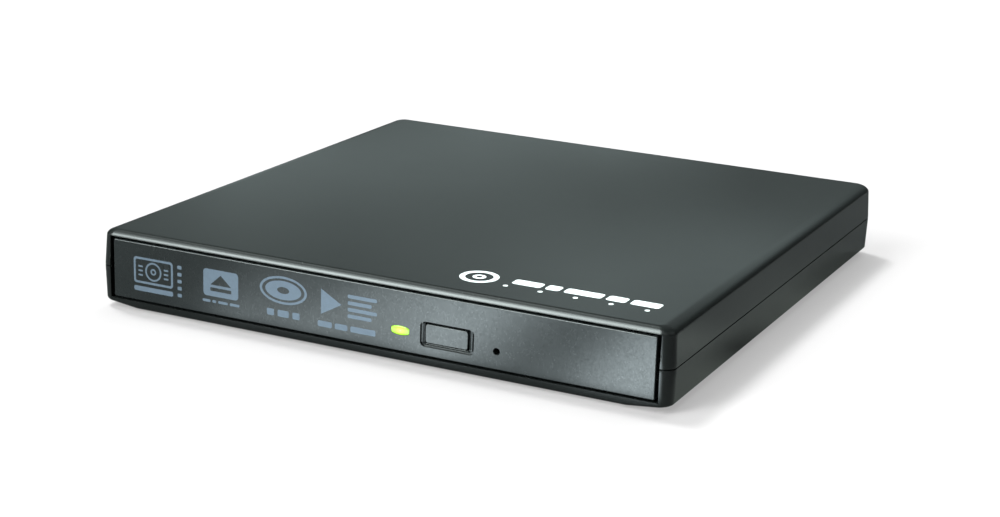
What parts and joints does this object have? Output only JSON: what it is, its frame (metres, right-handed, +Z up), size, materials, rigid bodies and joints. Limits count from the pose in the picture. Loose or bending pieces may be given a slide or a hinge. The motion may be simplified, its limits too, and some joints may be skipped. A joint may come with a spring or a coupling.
{
  "type": "external optical drive",
  "caption": "Slim external optical drive: flat two-part case on rubber feet, sliding disc tray on telescopic rails, eject button, spindle hub and travelling laser pickup.",
  "frame": {"origin": "centre of the footprint, on the plane that the rubber feet stand on", "axes": "+Z up; +X to the right seen from the front; the front bezel faces -Y, so the tray slides out along -Y"},
  "size_m": [0.137, 0.136, 0.018],
  "materials": {
    "case_plastic": "satin soft-touch",
    "bezel_plastic": "fine spark-eroded texture",
    "feet_rubber": "matt",
    "black_screw": "black oxide",
    "pcb_green": "solder mask",
    "chip_black": "moulded",
    "connector_black": "moulded",
    "tinned_steel": "tin plated",
    "contact_brass": "plated",
    "zinc_sheet": "zinc-coated sheet",
    "bright_steel": "ground and polished",
    "zinc_screw": "zinc plated",
    "guide_plastic": "natural acetal",
    "flat_cable": "polyester film",
    "tray_plastic": "fine texture",
    "led_plastic": "clear tinted",
    "frame_metal": "dark coated",
    "bush_rubber": "matt",
    "core_steel": "laminated",
    "coil_copper": "enamelled wire",
    "bronze": "sintered",
    "magnet_black": "bonded magnet",
    "trim_black": "satin black",
    "hub_plastic": "smooth",
    "spring_steel": "drawn wire",
    "sled_metal": "die cast",
    "nut_plastic": "natural acetal",
    "lens_glass": "coated"
  },
  "bodies": {
    "case": {"top_shell": "case_plastic", "bottom_shell": "case_plastic", "rubber_feet": "feet_rubber", "case_screws": "black_screw", "bridge_board": "pcb_green", "bridge_chips": "chip_black", "usb_socket_shell": "tinned_steel", "usb_socket_insert": "connector_black", "dc_jack_body": "connector_black", "dc_jack_pin": "contact_brass", "sata_socket": "connector_black", "drive_chassis": "zinc_sheet", "drive_cover": "zinc_sheet", "cover_screws": "zinc_screw", "left_rail_guide": "guide_plastic", "right_rail_guide": "guide_plastic", "main_board": "pcb_green", "main_board_chips": "chip_black", "flex_cable": "flat_cable", "sata_plug": "connector_black", "latch_pin": "bright_steel", "ejector_housing": "connector_black", "ejector_plunger": "guide_plastic", "ejector_spring": "spring_steel"},
    "rails": {"left_rail": "zinc_sheet", "right_rail": "zinc_sheet"},
    "tray": {"disc_tray": "tray_plastic", "front_bezel": "bezel_plastic", "led_lens": "led_plastic", "activity_led": "led_plastic", "switch_board": "pcb_green", "eject_switch": "chip_black", "traverse_frame": "frame_metal", "traverse_bushes": "bush_rubber", "traverse_screws": "zinc_screw", "spindle_stator": "core_steel", "stator_coils": "coil_copper", "spindle_bearing": "bronze", "guide_rods": "bright_steel", "sled_motor": "tinned_steel", "trim_plate": "trim_black", "latch_solenoid": "core_steel", "latch_spring": "spring_steel"},
    "eject_button": {"eject_button": "bezel_plastic", "switch_plunger": "tinned_steel"},
    "spindle": {"spindle_hub": "hub_plastic", "spindle_shaft": "bright_steel", "rotor_magnet": "magnet_black", "hub_claws": "bright_steel", "turntable_ring": "bush_rubber"},
    "pickup": {"pickup_sled": "sled_metal", "lens_cover": "trim_black", "lead_nut": "nut_plastic"},
    "lens_focus": {"objective_lens": "lens_glass", "lens_holder": "hub_plastic"},
    "lead_screw": {"lead_screw": "bright_steel"},
    "latch_hook": {"latch_hook": "zinc_sheet"},
    "solenoid_plunger": {"solenoid_plunger": "bright_steel"}
  },
  "joints": [
    {"name": "tray_slide", "type": "slide", "parent": "case", "child": "tray", "axis": [0, -1, 0], "range_m": [0, 0.126]},
    {"name": "rail_slide", "type": "slide", "parent": "case", "child": "rails", "axis": [0, -1, 0], "range_m": [0, 0.063]},
    {"name": "button_press", "type": "slide", "parent": "tray", "child": "eject_button", "axis": [0, 1, 0], "range_m": [0, 0.0005]},
    {"name": "spindle_turn", "type": "hinge", "parent": "tray", "child": "spindle", "pos_m": [0, -0.0034, 0.008], "axis": [0, 0, 1], "continuous": true},
    {"name": "pickup_travel", "type": "slide", "parent": "tray", "child": "pickup", "axis": [-0.7071, -0.7071, 0], "range_m": [0, 0.034]},
    {"name": "lead_screw_turn", "type": "hinge", "parent": "tray", "child": "lead_screw", "pos_m": [-0.0145, -0.04547, 0.0069], "axis": [-0.7071, -0.7071, 0], "range_deg": [0, 4100]},
    {"name": "lens_focus_move", "type": "slide", "parent": "pickup", "child": "lens_focus", "axis": [0, 0, 1], "range_m": [-0.0003, 0.0004]},
    {"name": "solenoid_travel", "type": "slide", "parent": "tray", "child": "solenoid_plunger", "axis": [0, 1, 0], "range_m": [0, 0.002]},
    {"name": "latch_turn", "type": "hinge", "parent": "tray", "child": "latch_hook", "pos_m": [0.0353, -0.055, 0.006], "axis": [0, 0, 1], "range_deg": [0, 30.01]}
  ],
  "couplings": [
    {"joint": "rail_slide", "follows": "tray_slide", "ratio": 0.5},
    {"joint": "lead_screw_turn", "follows": "pickup_travel", "rad_per_m": 2094.4},
    {"joint": "latch_turn", "follows": "solenoid_travel", "rad_per_m": 261.8}
  ]
}
